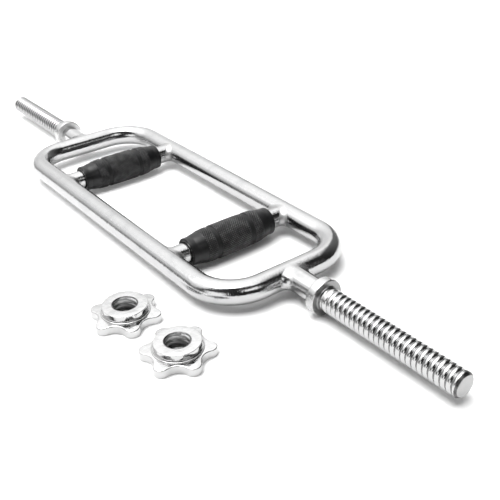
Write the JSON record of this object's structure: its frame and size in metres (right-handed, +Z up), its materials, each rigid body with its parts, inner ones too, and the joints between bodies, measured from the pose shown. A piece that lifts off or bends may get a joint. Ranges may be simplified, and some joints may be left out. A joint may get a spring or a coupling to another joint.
{
  "type": "neutral-grip triceps bar",
  "caption": "Chromed triceps bar: a rounded frame with rubber-gripped crossbars, a threaded rod with a flange at each end, and loose star collars.",
  "frame": {"origin": "centre of the underside of the whole layout, on the floor that it lies on", "axes": "+X along the bar towards the near rod, +Y across the frame away from the loose collars, +Z up"},
  "size_m": [0.8636, 0.2734, 0.037],
  "materials": {
    "frame_chrome": "polished chrome plate on steel bar",
    "weld_chrome": "chrome plate over ground weld beads",
    "rod_chrome": "chrome plate on turned and threaded steel",
    "collar_plating": "chrome plate on a cast and machined collar",
    "grip_rubber": "moulded rubber with hatched bands"
  },
  "bodies": {
    "bar": {"left_rail": "frame_chrome", "right_rail": "frame_chrome", "near_end_bow": "frame_chrome", "near_threaded_rod": "rod_chrome", "near_flange": "rod_chrome", "near_neck_weld": "weld_chrome", "near_crossbar": "frame_chrome", "near_grip": "grip_rubber", "near_crossbar_left_weld": "weld_chrome", "near_crossbar_right_weld": "weld_chrome", "far_end_bow": "frame_chrome", "far_threaded_rod": "rod_chrome", "far_flange": "rod_chrome", "far_neck_weld": "weld_chrome", "far_crossbar": "frame_chrome", "far_grip": "grip_rubber", "far_crossbar_left_weld": "weld_chrome", "far_crossbar_right_weld": "weld_chrome"},
    "near_collar": {"near_collar": "collar_plating"},
    "far_collar": {"far_collar": "collar_plating"}
  },
  "joints": [
    {"name": "near_collar_lift", "type": "slide", "parent": "bar", "child": "near_collar", "axis": [0, 0, 1], "range_m": [0, 0.12]},
    {"name": "far_collar_lift", "type": "slide", "parent": "bar", "child": "far_collar", "axis": [0, 0, 1], "range_m": [0, 0.12]}
  ]
}
